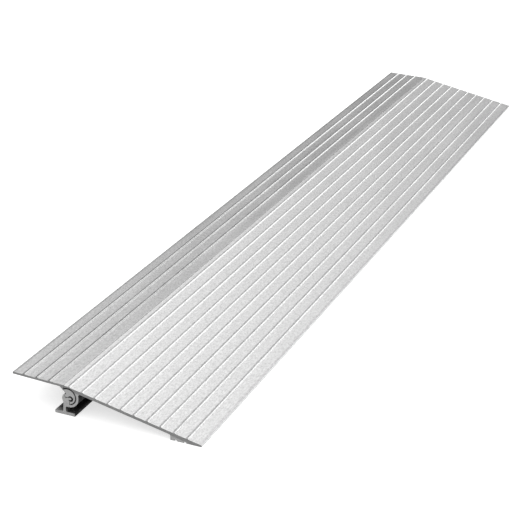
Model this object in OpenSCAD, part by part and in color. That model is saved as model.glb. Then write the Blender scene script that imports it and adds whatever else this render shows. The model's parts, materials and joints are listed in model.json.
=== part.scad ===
// Threshold ramp of two long aluminium extrusions: a ribbed ramp that stands on a foot and a nose,
// and a ribbed transition plate that hangs in the ramp's socket by a hook and tilts to meet the sill.
// X runs from the back edge to the front tip, Y along the doorway, Z up from the floor.

/* [Overall] */
// Length of both extrusions along the doorway
section_length = 914.4; // [300:0.1:1800]
// Height of the ridge, where the two treads meet, above the floor
ridge_height = 26.6; // [25:0.1:45]

/* [Ramp tread] */
// Length of the sloping tread from the ridge to the front tip, along the slope
ramp_reach = 122.1; // [95:0.1:240]
// Height of the front tip above the floor
tip_height = 1.6; // [1.2:0.1:3]
// Thickness of the sloping tread
ramp_thickness = 2.5; // [1.8:0.1:3.2]
// Distance from the ridge to the crest of the ramp's first rib
ramp_rib_start = 5.1; // [3:0.1:9]

/* [Transition plate] */
// Length of the transition plate from the ridge to its back edge
plate_reach = 47; // [30:0.5:90]
// Thickness of the transition plate
plate_thickness = 1.9; // [1.5:0.1:3]
// Angle at which the plate rises towards its back edge, in degrees
plate_tilt = 2.2; // [0:0.1:4]
// Distance from the ridge to the crest of the plate's first rib
plate_rib_start = 12.4; // [7:0.1:16]

/* [Grip ribs] */
// Spacing of the ribs on both treads
rib_pitch = 11.67; // [7:0.01:20]
// Height of a rib above its tread
rib_height = 1; // [0.7:0.05:2]
// Width of a rib where it leaves its tread
rib_width = 1.9; // [1.3:0.1:4]
// Radius of a rib's crest
rib_crest_radius = 0.3; // [0.2:0.05:0.5]

/* [Hinge] */
// Distance of the hinge axis in front of the ridge
axis_forward = 3.3; // [2.6:0.1:4.2]
// Depth of the hinge axis below the ridge
axis_drop = 9.5; // [9.2:0.1:12]
// Radius of the hook's round knuckle
knuckle_radius = 6.7; // [6.3:0.1:7]
// Running gap between the knuckle and the socket
running_gap = 0.6; // [0.3:0.05:0.8]
// Wall thickness of the socket
socket_wall = 2.2; // [1.6:0.1:3]
// Gap at the ridge between the transition plate and the ramp's lip
ridge_gap = 0.3; // [0.25:0.05:0.6]
// How far the back edge of the transition plate can sink, in degrees
droop_angle = 10; // [4:0.5:11]

/* [Foot] */
// Width of the foot's base across the ramp
foot_width = 18; // [12:0.5:30]
// Thickness of the foot's base
foot_thickness = 2.8; // [2:0.1:4]
// Thickness of the stem between the base and the socket
stem_thickness = 2.7; // [2:0.1:4]

/* [Nose] */
// Length of the solid nose on the floor, back from the front tip
nose_run = 26.6; // [18:0.2:40]
// Width of a groove under the nose
groove_width = 2.5; // [1.5:0.1:4]
// Depth of a groove under the nose
groove_depth = 1.4; // [0.8:0.1:2]
// Spacing of the two grooves
groove_spacing = 7.8; // [5:0.1:10]

/* [Retaining pins] */
// Outside diameter of a spring pin
pin_diameter = 2; // [1.5:0.1:2.5]
// Wall thickness of a spring pin
pin_wall = 0.45; // [0.3:0.05:0.6]
// Distance of each pin from the end of the section
pin_inset = 25; // [15:1:60]

/* [Hidden] */
// Rounding of true curves
$fn = 64;
// Overrun of every cut past the face that it opens
overrun = 1;
// Depth to which a fillet or rib is rooted in what carries it
root_depth = 0.4;
// How far a rounding bites past the face that it blends into
blend_depth = 0.004;

// Fillets and rounded edges
stem_fillet = 1.2;
web_fillet = 1.6;
nose_fillet = 1.2;
edge_radius = 0.5;
tip_radius = 0.45;
lip_radius = 0.15;

// Hook, horn and finger that lock the two sections together, measured from the hinge axis
core_radius = 2.8;
core_gap = 0.3;
lobe_radius = 5.5;
lobe_drop = 2.5;
bead_forward = 2.1;
bead_drop = 1.7;
bead_radius = 1.2;
bead_gap = 1.1;
hook_tip_forward = 1.15;
hook_tip_gap = 0.45;
bracket_reach = 3.7;
rise_angle = 1;
bracket_angle = 123;
stop_angle = 8.5;
finger_angle = 15;
waist_angle = 208;

// Foot and groove places, measured from the hinge axis and the front tip
stem_back = 4.1;
foot_front = 5.2;
front_groove_setback = 14.2;

// Pins, seen from the hinge axis
pin_angle = -32;
pin_engagement = 1.3;
pin_recess = 0.3;
pin_split = 0.5;
slot_gap = 0.4;

// Driving angles and places worked out from the sizes above
ramp_slope = asin((ridge_height - tip_height) / ramp_reach);
tip_x = ramp_reach * cos(ramp_slope);
back_x = plate_point(plate_reach - edge_radius, edge_radius - plate_thickness)[0] - edge_radius;
mid_x = (tip_x + back_x) / 2;
axis_point = [axis_forward, ridge_height - axis_drop];
socket_radius = knuckle_radius + running_gap;
socket_outer = socket_radius + socket_wall;
web_x = axis_forward + socket_outer - blend_depth;
stem_x = axis_forward - stem_back;
lobe_point = axis_point - [0, lobe_drop];
waist_point = lobe_point + (lobe_radius - root_depth) * heading(waist_angle);
bead_point = axis_point + [bead_forward, -bead_drop];
horn_angle = bracket_angle + droop_angle + stop_angle;
ramp_ribs = floor((ramp_reach - ramp_rib_start - rib_width) / rib_pitch) + 1;
plate_ribs = floor((plate_reach - plate_rib_start - rib_width) / rib_pitch) + 1;
far = ramp_reach + plate_reach;

// Unit direction at an angle, counterclockwise from the front
function heading(angle) = [cos(angle), sin(angle)];

// Point on the ramp's tread: along the slope from the ridge, and up from its surface
function ramp_point(along, up) =
    [0, ridge_height] + along * heading(-ramp_slope) + up * heading(90 - ramp_slope);

// Point on the transition plate: back from the ridge, and up from its surface
function plate_point(along, up) =
    [0, ridge_height] + along * heading(180 - plate_tilt) + up * heading(90 - plate_tilt);

// Point on the ramp's tread straight above a place across the ramp
function tread_over(x, up) = ramp_point((x - up * sin(ramp_slope)) / cos(ramp_slope), up);

// Point round the hinge axis
function axis_polar(radius, angle) = axis_point + radius * heading(angle);

// Corner filled or cut to a radius, between two edges that leave it at the angles from and to
module corner_patch(corner, from, to, radius) {
    half = (to - from) / 2;
    inward = heading(from + half);
    bite = radius - blend_depth;
    centre = corner + bite / sin(half) * inward;
    from_touch = corner + bite / tan(half) * heading(from);
    to_touch = corner + bite / tan(half) * heading(to);
    difference() {
        polygon([
            centre,
            to_touch,
            to_touch - root_depth * heading(to - 90),
            corner - root_depth / sin(half) * inward,
            from_touch - root_depth * heading(from + 90),
            from_touch
        ]);
        translate(centre) circle(r = radius);
    }
}

// Everything to the left of a line through a point
module half_plane(point, angle) {
    translate(point) rotate(angle) translate([-far, 0]) square([2 * far, far]);
}

// Wedge round the hinge axis, opened counterclockwise
module axis_wedge(from, to) {
    polygon([axis_point, axis_polar(far, from), axis_polar(far, (from + to) / 2), axis_polar(far, to)]);
}

// Grip rib: two flanks that run up to a round crest, rooted in the tread
module rib() {
    crest = [0, rib_height - rib_crest_radius];
    crest_bite = rib_crest_radius - blend_depth;
    flank_angle = atan2(crest[1], rib_width / 2) + asin(crest_bite / norm([rib_width / 2, crest[1]]));
    touch = crest + crest_bite * heading(90 - flank_angle);
    foot = [rib_width / 2 + root_depth / tan(flank_angle), -root_depth];
    polygon([[-foot[0], foot[1]], foot, touch, [-touch[0], touch[1]]]);
    translate(crest) circle(r = rib_crest_radius);
}

// Lip over the hinge, sloping tread, and the solid nose that stands on the floor
module tread_profile() {
    nose_x = tip_x - nose_run;
    nose_top = tread_over(nose_x, -ramp_thickness);
    tip_top = ramp_point(ramp_reach, 0);
    web_under = tread_over(web_x, -ramp_thickness);
    difference() {
        polygon([
            [0, ridge_height],
            [0, axis_point[1]],
            [web_x, axis_point[1]],
            web_under,
            nose_top,
            [nose_x, 0],
            [tip_x, 0],
            tip_top
        ]);
        corner_patch([0, ridge_height], 270, 360 - ramp_slope, lip_radius);
        corner_patch(tip_top, 180 - ramp_slope, 270, tip_radius);
        corner_patch([nose_x, 0], 0, 90, edge_radius);
        for (i = [0, 1])
            translate([tip_x - front_groove_setback - i * groove_spacing, groove_depth - groove_width / 2]) {
                circle(d = groove_width);
                translate([-groove_width / 2, -groove_depth]) square([groove_width, groove_depth]);
            }
    }
    corner_patch(web_under, 270, 360 - ramp_slope, web_fillet);
    corner_patch(nose_top, 180 - ramp_slope, 270, nose_fillet);
    for (i = [0 : ramp_ribs - 1])
        translate(ramp_point(ramp_rib_start + i * rib_pitch, 0)) rotate(-ramp_slope) rib();
}

// Round wall that closes the socket from below
module socket_profile() {
    intersection() {
        translate(axis_point) circle(r = socket_outer);
        translate([waist_point[0], 0]) square([far, axis_point[1] + root_depth]);
    }
}

// Stem from the foot up into the socket's round wall
module stem_profile() {
    polygon([
        [stem_x - stem_thickness / 2, 0],
        [stem_x + stem_thickness / 2, 0],
        [stem_x + stem_thickness / 2, axis_point[1] - socket_radius],
        lobe_point,
        waist_point
    ]);
}

// Flat foot with the fillets that carry the stem
module foot_profile() {
    foot_x = axis_forward + foot_front - foot_width;
    stem_rear = stem_x - stem_thickness / 2;
    lean = atan2(waist_point[1], waist_point[0] - stem_rear);
    difference() {
        translate([foot_x, 0]) square([foot_width, foot_thickness]);
        corner_patch([foot_x, foot_thickness], 270, 360, edge_radius);
        corner_patch([foot_x + foot_width, foot_thickness], 180, 270, edge_radius);
    }
    corner_patch([stem_rear + foot_thickness / tan(lean), foot_thickness], lean, 180, stem_fillet);
    corner_patch([stem_x + stem_thickness / 2, foot_thickness], 0, 90, stem_fillet);
}

// Fillet in the crook between the stem's front side and the round wall of the socket
module crook_fillet() {
    stem_front = stem_x + stem_thickness / 2;
    bite = stem_fillet - blend_depth;
    across = stem_front + bite - axis_forward;
    centre = axis_point + [across, -sqrt(pow(socket_outer + bite, 2) - pow(across, 2))];
    wall_angle = atan2(centre[1] - axis_point[1], centre[0] - axis_point[0]);
    difference() {
        polygon([
            centre,
            axis_polar(socket_outer, wall_angle),
            axis_polar(socket_outer - root_depth, wall_angle),
            [stem_front - root_depth, axis_point[1] - socket_radius],
            [stem_front - root_depth, centre[1]],
            [stem_front, centre[1]]
        ]);
        translate(centre) circle(r = stem_fillet);
    }
}

// Horn and beaded finger inside the socket, on which the hook rides
module horn_profile() {
    finger_top = bead_point + bead_radius * heading(90 + finger_angle);
    root_x = axis_forward + hook_tip_forward - hook_tip_gap;
    difference() {
        intersection() {
            union() {
                translate(lobe_point) circle(r = lobe_radius);
                stem_profile();
            }
            half_plane([root_x, 0], 90);
        }
        intersection() {
            translate(axis_point) circle(r = core_radius + core_gap);
            half_plane(finger_top, finger_angle);
        }
        intersection() {
            axis_wedge(0, horn_angle);
            half_plane(finger_top, finger_angle);
        }
    }
    intersection() {
        translate(lobe_point) circle(r = lobe_radius);
        polygon([
            finger_top,
            finger_top - far * heading(finger_angle),
            lobe_point,
            bead_point - [0, bead_radius]
        ]);
        half_plane([bead_point[0], 0], 90);
    }
    translate(bead_point) circle(r = bead_radius);
}

// Ramp section seen from its end
module ramp_profile() {
    difference() {
        union() {
            tread_profile();
            socket_profile();
            stem_profile();
            foot_profile();
            crook_fillet();
        }
        translate(axis_point) circle(r = socket_radius);
    }
    horn_profile();
}

// Hook that hangs in the socket: a round knuckle cut open below, and the core that rides on the finger
module hook_profile() {
    core_flat = bead_point + (bead_radius + core_gap) * heading(90 + finger_angle);
    difference() {
        union() {
            difference() {
                translate(axis_point) circle(r = knuckle_radius);
                axis_wedge(bracket_angle, 270);
                translate(axis_point - [far, far]) square([far + hook_tip_forward, far]);
            }
            difference() {
                translate(axis_point) circle(r = core_radius);
                for (turn = [-droop_angle, rise_angle])
                    translate(axis_point) rotate(turn) translate(-axis_point)
                        half_plane(core_flat, finger_angle + 180);
            }
        }
        translate(bead_point) circle(r = bead_radius + bead_gap);
    }
}

// Transition plate seen from its end: the ribbed plate, and the bracket that carries the hook
module plate_profile() {
    ridge_top = plate_point(ridge_gap / cos(plate_tilt), 0);
    back_top = plate_point(plate_reach, 0);
    back_under = plate_point(plate_reach, -plate_thickness);
    shoulder = sqrt(pow(knuckle_radius, 2) - pow(axis_forward + ridge_gap, 2));
    difference() {
        polygon([
            ridge_top,
            back_top,
            back_under,
            plate_point(bracket_reach, -plate_thickness),
            axis_polar(core_radius - root_depth, bracket_angle),
            axis_polar(knuckle_radius - root_depth, 90),
            [-ridge_gap, axis_point[1] + shoulder - blend_depth]
        ]);
        corner_patch(ridge_top, 180 - plate_tilt, 270, lip_radius);
        corner_patch(back_top, -90 - plate_tilt, -plate_tilt, edge_radius);
        corner_patch(back_under, -plate_tilt, 90 - plate_tilt, edge_radius);
    }
    for (i = [0 : plate_ribs - 1])
        translate(plate_point(plate_rib_start + i * rib_pitch, 0)) rotate(-plate_tilt) rib();
    hook_profile();
}

// A profile drawn across the ramp, pulled along the doorway
module pulled(length) {
    translate([-mid_x, 0, 0]) rotate([90, 0, 0]) linear_extrude(length, center = true) children();
}

// Places the children at both pins, with Z pointing out of the hinge axis through the pin
module at_pins() {
    for (side = [-1, 1])
        translate([axis_point[0] - mid_x, side * (section_length / 2 - pin_inset), axis_point[1]])
            rotate([0, 90 - pin_angle, 0])
                children();
}

// Ramp: tread, nose, socket, horn, finger and foot in one extrusion, with a hole for each pin
module ramp_section() {
    color("gainsboro") difference() {
        pulled(section_length) ramp_profile();
        at_pins() translate([0, 0, knuckle_radius]) cylinder(d = pin_diameter, h = socket_outer);
    }
}

// Transition plate: tread, bracket and hook in one extrusion, with a slot for each pin
module transition_plate() {
    pin_half_angle = asin((pin_diameter / 2 + slot_gap) / (knuckle_radius - pin_engagement));
    slot_start = pin_angle - droop_angle - pin_half_angle;
    slot_end = pin_angle + rise_angle + pin_half_angle;
    slot_length = pin_diameter + 2 * slot_gap;
    color("silver") difference() {
        pulled(section_length) plate_profile();
        for (side = [-1, 1])
            translate([0, side * (section_length / 2 - pin_inset), 0])
                pulled(slot_length) intersection() {
                    difference() {
                        translate(axis_point) circle(r = socket_radius);
                        translate(axis_point) circle(r = knuckle_radius - pin_engagement - slot_gap);
                    }
                    axis_wedge(slot_start, slot_end);
                }
    }
}

// Slotted spring pins that stop the two sections sliding apart along the doorway
module retaining_pins() {
    pin_start = knuckle_radius - pin_engagement;
    pin_length = socket_outer - pin_recess - pin_start;
    color("dimgray") at_pins() translate([0, 0, pin_start]) difference() {
        cylinder(d = pin_diameter, h = pin_length);
        translate([0, 0, -overrun]) cylinder(d = pin_diameter - 2 * pin_wall, h = pin_length + 2 * overrun);
        translate([0, -pin_split / 2, -overrun]) cube([pin_diameter, pin_split, pin_length + 2 * overrun]);
    }
}

ramp_section();
transition_plate();
retaining_pins();
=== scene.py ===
"""Threshold ramp of two aluminium extrusions, finished as mill-finish metal in a plain white studio."""

import json
import math

import bpy
from mathutils import Matrix, Vector


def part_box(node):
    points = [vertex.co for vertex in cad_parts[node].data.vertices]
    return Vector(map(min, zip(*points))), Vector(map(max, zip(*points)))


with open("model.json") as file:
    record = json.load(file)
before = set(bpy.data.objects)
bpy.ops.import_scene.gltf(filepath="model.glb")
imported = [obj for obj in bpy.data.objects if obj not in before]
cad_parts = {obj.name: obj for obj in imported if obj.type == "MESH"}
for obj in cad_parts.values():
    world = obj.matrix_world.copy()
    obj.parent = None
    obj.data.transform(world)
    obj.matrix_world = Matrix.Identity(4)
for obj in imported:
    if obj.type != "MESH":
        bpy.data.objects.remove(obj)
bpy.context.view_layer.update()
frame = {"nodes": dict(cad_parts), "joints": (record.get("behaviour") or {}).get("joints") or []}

# Ramp section: one long extrusion of mill-finish aluminium, with ribbed tread, nose, socket and foot in one.
# Feet and wheels polish its ribs, painted shadow lies behind them, its front edge and the tops of its ends
# are darker, and a saw leaves arcs across its duller ends; painted shade darkens those ends further, lines
# the round gaps of the hinge and fills the hollows below.

hinge = Vector(frame["joints"][0]["pos_m"])
ridge_to_hinge = 0.0033
ridge_height = 0.0266
ridge = Vector((hinge.x - ridge_to_hinge, 0, ridge_height))
tip_height = 0.0016
front_tip = Vector((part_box("ramp_section")[1].x, 0, tip_height))
ramp_slope = math.atan2(ridge.z - front_tip.z, front_tip.x - ridge.x)
ramp_normal = (math.sin(ramp_slope), 0, math.cos(ramp_slope))
ramp_uphill = (-math.cos(ramp_slope), 0, math.sin(ramp_slope))
ramp_reach = (front_tip - ridge).length
rib_height = 0.001
rib_width = 0.0019
rib_pitch = 0.01167
ramp_ribs = 10
ramp_rib_start = 0.0051
ramp_front_rib = -(ramp_rib_start + (ramp_ribs - 1) * rib_pitch)
# Painted shadow behind each rib of the ramp: how far it reaches and how much darker it is.
ramp_rib_shadow_reach = 0.0014
ramp_rib_shadow_loss = -0.28


def feed(tree, node, feeds):
    """Feed each named socket of a node from another node's socket, or set it to a plain value."""
    for socket, source in feeds.items():
        if isinstance(source, bpy.types.NodeSocket):
            tree.links.new(source, node.inputs[socket])
        else:
            node.inputs[socket].default_value = source


def wire(tree, kind, feeds, **settings):
    """A new shader node with its settings and feeds."""
    made = tree.nodes.new(kind)
    for name, value in settings.items():
        setattr(made, name, value)
    feed(tree, made, feeds)
    return made


def calc(tree, operation, *values):
    """A number worked out from numbers."""
    return wire(tree, "ShaderNodeMath", dict(enumerate(values)), operation=operation).outputs[0]


def shift(tree, operation, *places):
    """A place worked out from places."""
    return wire(tree, "ShaderNodeVectorMath", dict(enumerate(places)), operation=operation).outputs["Vector"]


def measure(tree, operation, *places):
    """A number worked out from places."""
    return wire(tree, "ShaderNodeVectorMath", dict(enumerate(places)), operation=operation).outputs["Value"]


def sum_of(tree, start, *parts):
    """A start value with each part's socket added to it, times that part's share."""
    total = start
    for socket, share in parts:
        total = calc(tree, "MULTIPLY_ADD", socket, share, total)
    return total


def product(tree, first, *others):
    """One number times all the others."""
    total = first
    for other in others:
        total = calc(tree, "MULTIPLY", total, other)
    return total


def between(tree, value, start, end, least=0.0):
    """A share that goes straight from the least, where the value is at its start, to 1 at its end."""
    return wire(tree, "ShaderNodeMapRange", {
        "Value": value, "From Min": start, "From Max": end, "To Min": least}).outputs[0]


def grain(tree, place, size, detail=2.0, sharpness=0.5):
    """Noise about zero, with a grain of its own size along each axis."""
    noise_middle = 0.5
    steps = tuple(1 / length for length in size)
    scaled = shift(tree, "MULTIPLY", place, steps)
    noise = wire(tree, "ShaderNodeTexNoise", {
        "Vector": scaled, "Scale": 1.0, "Detail": detail, "Roughness": sharpness}).outputs[0]
    return calc(tree, "SUBTRACT", noise, noise_middle)


def in_section(tree, place):
    """A place moved along the extrusion to the middle of its length."""
    return shift(tree, "MULTIPLY", place, (1, 0, 1))


def rib_painted_shadow(tree, place, height, past_front, rib_shadow_reach):
    """Painted shadow behind each rib, patchy, low on the tread and fainter towards its reach."""
    full_reach = 0.0005
    top_start = -0.4 * rib_height
    top_full = -0.1 * rib_height
    bank_top = rib_height
    bank_full = 0.6 * rib_height
    patch_size = (0.012, 0.012, 0.012)
    patch_low = -0.5
    patch_high = 0.0
    patch_least = 0.5

    flank = rib_width / 2
    behind = calc(tree, "FLOORED_MODULO", past_front, rib_pitch)
    lee = between(tree, behind, flank + rib_shadow_reach, flank + full_reach)
    ribbed = calc(tree, "GREATER_THAN", past_front, 0.0)
    on_top = between(tree, height, top_start, top_full)
    low_down = between(tree, height, bank_top, bank_full)
    patches = between(tree, grain(tree, place, patch_size), patch_low, patch_high, patch_least)
    return product(tree, lee, ribbed, on_top, low_down, patches)


def sawn_face(tree):
    """1 on the sawn ends, which face along the extrusion, and 0 on the drawn faces."""
    least_facing = 0.9
    full_facing = 0.99
    normal = wire(tree, "ShaderNodeNewGeometry", {}).outputs["True Normal"]
    facing = calc(tree, "ABSOLUTE", measure(tree, "DOT_PRODUCT", normal, (0, 1, 0)))
    return between(tree, facing, least_facing, full_facing)


def saw_arcs(tree, place):
    """Waves in arcs, as a round saw leaves them when it comes up through the section."""
    saw_centre = (0.02, 0, -0.18)
    saw_pitch = 0.0007
    swing = measure(tree, "DISTANCE", in_section(tree, place), saw_centre)
    return calc(tree, "SINE", product(tree, swing, 2 * math.pi / saw_pitch))


def gap_painted_shade(tree, place, centre, radius, half_width, toward, start):
    """Painted shade along a round gap, on its side that lies past a start in one direction."""
    fade = 0.0003
    out = in_section(tree, shift(tree, "SUBTRACT", place, tuple(centre)))
    past_gap = calc(tree, "SUBTRACT", measure(tree, "LENGTH", out), radius)
    close = between(tree, calc(tree, "ABSOLUTE", past_gap), half_width + fade, half_width)
    onward = measure(tree, "DOT_PRODUCT", out, toward)
    return product(tree, close, between(tree, onward, start - fade, start))


def hinge_gap_painted_shade(tree, place):
    """Painted shade along the gap round the hook and the gap round the finger's bead inside it."""
    bead_forward = 0.0021
    bead_drop = 0.0017
    bead = hinge + Vector((bead_forward, 0, -bead_drop))
    round_hook = gap_painted_shade(tree, place, hinge, radius=0.007, half_width=0.0005,
                          toward=(1, 0, 0.55), start=-0.0015)
    round_bead = gap_painted_shade(tree, place, bead, radius=0.00175, half_width=0.0007,
                          toward=(1, 0, 0), start=-0.0004)
    return calc(tree, "MAXIMUM", round_hook, round_bead)


def hollow_painted_shade(tree, place, height):
    """Painted shade below the tread, where little open air reaches, and most of all in front of the hinge.
    """
    shelter_reach = 0.04
    shelter_samples = 16
    hollow_back = hinge.x - 0.002
    hollow_front = hinge.x - 0.0005
    hollow_shelter = 0.2
    most_air = 0.65
    least_air = 0.35
    shade_top = -rib_height
    shade_full = -2 * rib_height

    open_air = wire(tree, "ShaderNodeAmbientOcclusion", {
        "Distance": shelter_reach}, samples=shelter_samples).outputs["AO"]
    across = wire(tree, "ShaderNodeSeparateXYZ", {0: place}).outputs["X"]
    in_hollow = between(tree, across, hollow_back, hollow_front)
    airing = sum_of(tree, open_air, (in_hollow, -hollow_shelter))
    sheltered = between(tree, airing, most_air, least_air)
    return product(tree, sheltered, between(tree, height, shade_top, shade_full))


def blank_finish(name):
    """A new material, with its node tree and its shader."""
    material = bpy.data.materials.new(name)
    material.use_nodes = True
    return material, material.node_tree, material.node_tree.nodes["Principled BSDF"]


def mill_aluminium(name, tread_normal, uphill, tread_reach, front_rib, rib_shadow_reach, rib_shadow_tone_loss):
    """Mill-finish aluminium for a tread through the ridge, with its front rib so far uphill of the ridge.

    Painted shadow lies behind each rib as far as its reach, and a fainter dark band lines the tread's long
    edge.
    """
    metal_tone = 0.8
    darkest_tone = 0.03
    metal_roughness = 0.33
    metal_share = 0.85
    die_line_size = (0.0008, 0.5, 0.0008)
    die_line_tone = 0.1
    die_line_roughness = 0.12
    brushing_size = (0.0028, 0.0009, 0.0028)
    brushing_tone = 0.1
    brushing_relief = 0.5
    speckle_size = (0.0014, 0.0028, 0.0014)
    speckle_tone = 0.55
    mottle_size = (0.03, 0.09, 0.03)
    mottle_tone = 0.06
    mottle_roughness = 0.1
    crest_foot = 0.1 * rib_height
    crest_full = 0.4 * rib_height
    crest_tone_gain = 0.16
    crest_roughness_loss = -0.1
    rim_width = 0.0017
    rim_fade = 0.0009
    rim_share = 0.37
    rib_shadow_roughness_gain = 0.2
    # The sawn ends: a duller finish of their own, darkened further as painted shade.
    sawn_tone_and_shade_loss = -0.45
    sawn_roughness_gain = 0.15
    saw_mark_tone = 0.03
    end_top_depth = 0.0026
    end_top_fade = 0.001
    end_top_tone_loss = -0.14
    gap_shade_tone_loss = -0.25
    hollow_shade_tone_loss = -0.8
    hollow_shade_roughness_gain = 0.6
    bump_strength = 0.5
    bump_depth = 0.00002

    material, tree, metal = blank_finish(name)
    place = wire(tree, "ShaderNodeTexCoord", {}).outputs["Object"]
    above = shift(tree, "SUBTRACT", place, tuple(ridge))
    height = measure(tree, "DOT_PRODUCT", above, tread_normal)
    climb = measure(tree, "DOT_PRODUCT", above, uphill)
    past_front = calc(tree, "SUBTRACT", climb, front_rib)
    sawn = sawn_face(tree)
    drawn = calc(tree, "SUBTRACT", 1.0, sawn)

    die_lines = grain(tree, place, die_line_size)
    brushing = grain(tree, place, brushing_size)
    speckle = product(tree, grain(tree, place, speckle_size, detail=1.0, sharpness=0.9), drawn)
    mottle = grain(tree, place, mottle_size)
    crest = between(tree, height, crest_foot, crest_full)
    # Painted shadow behind each rib, darker in tone and a little rougher.
    rib_shadow = product(tree, rib_painted_shadow(tree, place, height, past_front, rib_shadow_reach), drawn)
    # A darker band along the tread's outer long edge, a share as dark as the rib shadow.
    rim_start = tread_reach - rim_width
    rim = between(tree, calc(tree, "ABSOLUTE", climb), rim_start - rim_fade, rim_start)
    rim_band = product(tree, rim, drawn)
    saw_marks = product(tree, saw_arcs(tree, place), sawn)
    # The sawn ends are darker in a band just below the tread.
    end_top_band = product(tree, between(tree, height, -end_top_depth - end_top_fade, -end_top_depth), sawn)
    # Painted shade on the sawn ends beside the hinge's round gaps.
    gap_shade = product(tree, hinge_gap_painted_shade(tree, place), sawn)
    # Painted shade in the hollows below the tread, from ambient occlusion; there the metal is also made dull
    # and non-metallic.
    hollow_shade = product(tree, hollow_painted_shade(tree, place, height), drawn)

    shade = sum_of(tree, metal_tone, (die_lines, die_line_tone), (brushing, brushing_tone),
                   (speckle, speckle_tone), (mottle, mottle_tone), (crest, crest_tone_gain),
                   (sawn, sawn_tone_and_shade_loss), (saw_marks, saw_mark_tone), (end_top_band, end_top_tone_loss),
                   (gap_shade, gap_shade_tone_loss), (rim_band, rim_share * rib_shadow_tone_loss),
                   (rib_shadow, rib_shadow_tone_loss), (hollow_shade, hollow_shade_tone_loss))
    roughness = sum_of(tree, metal_roughness, (die_lines, die_line_roughness), (mottle, mottle_roughness),
                       (crest, crest_roughness_loss), (sawn, sawn_roughness_gain),
                       (rib_shadow, rib_shadow_roughness_gain), (hollow_shade, hollow_shade_roughness_gain))
    relief = sum_of(tree, 0.0, (die_lines, 1.0), (brushing, brushing_relief), (saw_marks, 1.0))
    bump = wire(tree, "ShaderNodeBump", {
        "Strength": bump_strength, "Distance": bump_depth, "Height": relief})
    feed(tree, metal, {
        "Base Color": calc(tree, "MAXIMUM", shade, darkest_tone),
        "Roughness": roughness,
        "Metallic": sum_of(tree, metal_share, (hollow_shade, -metal_share)),
        "Normal": bump.outputs["Normal"],
    })
    return material


ramp_metal = mill_aluminium("ramp_mill_aluminium", ramp_normal, ramp_uphill, ramp_reach, ramp_front_rib,
                            ramp_rib_shadow_reach, ramp_rib_shadow_loss)
frame["nodes"]["ramp_section"].material_slots[0].material = ramp_metal

# Transition plate: the second extrusion, of the same mill-finish aluminium, hung by its hook in the socket.
# It rises a little towards its back edge, so its ribs lie on a plane of their own,
# with a longer and darker painted shadow behind them.

plate_tilt = math.radians(2.2)
plate_normal = (math.sin(plate_tilt), 0, math.cos(plate_tilt))
plate_uphill = (-math.cos(plate_tilt), 0, math.sin(plate_tilt))
plate_reach = (ridge.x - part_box("transition_plate")[0].x) / math.cos(plate_tilt)
plate_rib_start = 0.0124
# The plate's painted shadow behind each rib reaches further and is darker.
plate_rib_shadow_reach = 0.0018
plate_rib_shadow_loss = -0.6

plate_metal = mill_aluminium("plate_mill_aluminium", plate_normal, plate_uphill, plate_reach,
                             plate_rib_start, plate_rib_shadow_reach, plate_rib_shadow_loss)
frame["nodes"]["transition_plate"].material_slots[0].material = plate_metal

# Retaining pins: two slotted pins, rolled from spring steel strip, hardened, and left with dark oiled scale.
# Each is pressed into the socket wall near an end, so that only its tip and end ring show.


def oiled_spring_steel():
    """Dark scale on hardened steel, rubbed bright in places where the pin was driven in."""
    scale_tone = 0.36
    scale_roughness = 0.42
    scale_mark_size = (0.0006, 0.0006, 0.0006)
    scale_mark_share = 0.3
    drive_mark_size = (0.0002, 0.0002, 0.002)
    drive_mark_share = 0.15
    bump_strength = 0.4
    bump_depth = 0.00002

    material, tree, metal = blank_finish("oiled_spring_steel")
    place = wire(tree, "ShaderNodeTexCoord", {}).outputs["Object"]
    scale_marks = grain(tree, place, scale_mark_size, detail=4.0)
    drive_marks = grain(tree, place, drive_mark_size)
    bump = wire(tree, "ShaderNodeBump", {
        "Strength": bump_strength, "Distance": bump_depth, "Height": scale_marks})
    feed(tree, metal, {
        "Base Color": sum_of(
            tree, scale_tone, (scale_marks, scale_mark_share), (drive_marks, drive_mark_share)),
        "Roughness": sum_of(tree, scale_roughness, (scale_marks, scale_mark_share)),
        "Metallic": 1.0,
        "Normal": bump.outputs["Normal"],
    })
    return material


frame["nodes"]["retaining_pins"].material_slots[0].material = oiled_spring_steel()

# Floor: a wide sheet of plain white board that the ramp stands on.
# The camera and reflections see it white, apart from the shade close to the ramp.

floor_reach = 40.0
board_tone = 0.6
board_lift = 0.88
shade_depth = 0.25
shade_reach = 0.06
shade_samples = 16

bpy.ops.mesh.primitive_plane_add(size=2 * floor_reach)
floor = bpy.context.object
floor.name = "floor"
board, board_tree, board_face = blank_finish("white_board")
rays = wire(board_tree, "ShaderNodeLightPath", {}).outputs
seen = sum_of(board_tree, 0.0, (rays["Is Camera Ray"], 1.0), (rays["Is Glossy Ray"], 1.0),
              (rays["Is Transmission Ray"], 1.0))
open_sky = wire(board_tree, "ShaderNodeAmbientOcclusion", {
    "Distance": shade_reach}, samples=shade_samples).outputs["AO"]
lift = sum_of(board_tree, board_lift * (1 - shade_depth), (open_sky, board_lift * shade_depth))
feed(board_tree, board_face, {
    "Base Color": (board_tone, board_tone, board_tone, 1),
    "Roughness": 1.0,
    "Specular IOR Level": 0.0,
    "Emission Color": (1, 1, 1, 1),
    "Emission Strength": product(board_tree, seen, lift),
})
floor.data.materials.append(board)

# Studio: a soft dome, bright overhead and dim towards the walls.
# A low soft box beyond the far end, in front of the ramp, lights the front sides of the ribs.

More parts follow.
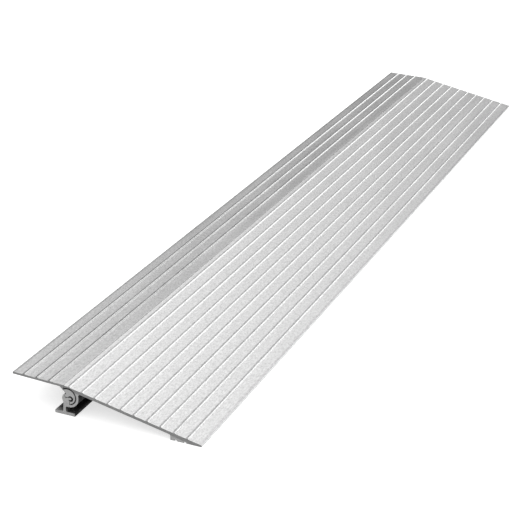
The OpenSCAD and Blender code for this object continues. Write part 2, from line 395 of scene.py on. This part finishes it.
dome_dim = 0.01
dome_bright = 1.12
dome_dim_rise = 0.28
dome_bright_rise = 0.55
dome_pole = Vector((0.15, 0, 1)).normalized()
soft_box_place = Vector((1.05, 1.58, 0.3))
soft_box_width = 1.8
soft_box_height = 0.5
soft_box_power = 3.8

bpy.context.scene.view_settings.view_transform = "Standard"
world = bpy.data.worlds.new("studio_dome")
bpy.context.scene.world = world
world.use_nodes = True
dome = world.node_tree
direction = wire(dome, "ShaderNodeTexCoord", {}).outputs["Generated"]
level = wire(dome, "ShaderNodeMapRange", {
    "Value": measure(dome, "DOT_PRODUCT", direction, dome_pole),
    "From Min": dome_dim_rise, "From Max": dome_bright_rise,
    "To Min": dome_dim, "To Max": dome_bright}, interpolation_type="SMOOTHSTEP").outputs[0]
feed(dome, dome.nodes["Background"], {"Color": (1, 1, 1, 1), "Strength": level})

light = bpy.data.lights.new("side_soft_box", "AREA")
light.shape = "RECTANGLE"
light.size = soft_box_width
light.size_y = soft_box_height
light.energy = soft_box_power
soft_box = bpy.data.objects.new("side_soft_box", light)
soft_box.location = soft_box_place
soft_box.rotation_euler = (-soft_box_place).to_track_quat("-Z", "Y").to_euler()
soft_box.visible_camera = False
bpy.context.scene.collection.objects.link(soft_box)

# Camera: stands off the near end of the ramp, in front of the ridge, and looks back and down along it.
# Its place, angles and lens were fitted to the straight edges and even ribs in the photograph.

near_ridge = Vector((ridge.x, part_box("ramp_section")[0].y, 0))
stand_off = Vector((0.5137, -0.7631, 0.5401))
turn = math.radians(24.322)
dip = math.radians(24.203)
roll = math.radians(-0.372)
film_width_mm = 36
lens_mm = 92.18

view = bpy.data.cameras.new("photo_camera")
view.sensor_width = film_width_mm
view.lens = lens_mm
camera = bpy.data.objects.new("photo_camera", view)
camera.location = near_ridge + stand_off
facing_down = Matrix.Rotation(turn, 3, "Z") @ Matrix.Rotation(math.pi / 2 - dip, 3, "X")
camera.rotation_euler = (facing_down @ Matrix.Rotation(roll, 3, "Z")).to_euler()
bpy.context.scene.collection.objects.link(camera)
bpy.context.scene.camera = camera
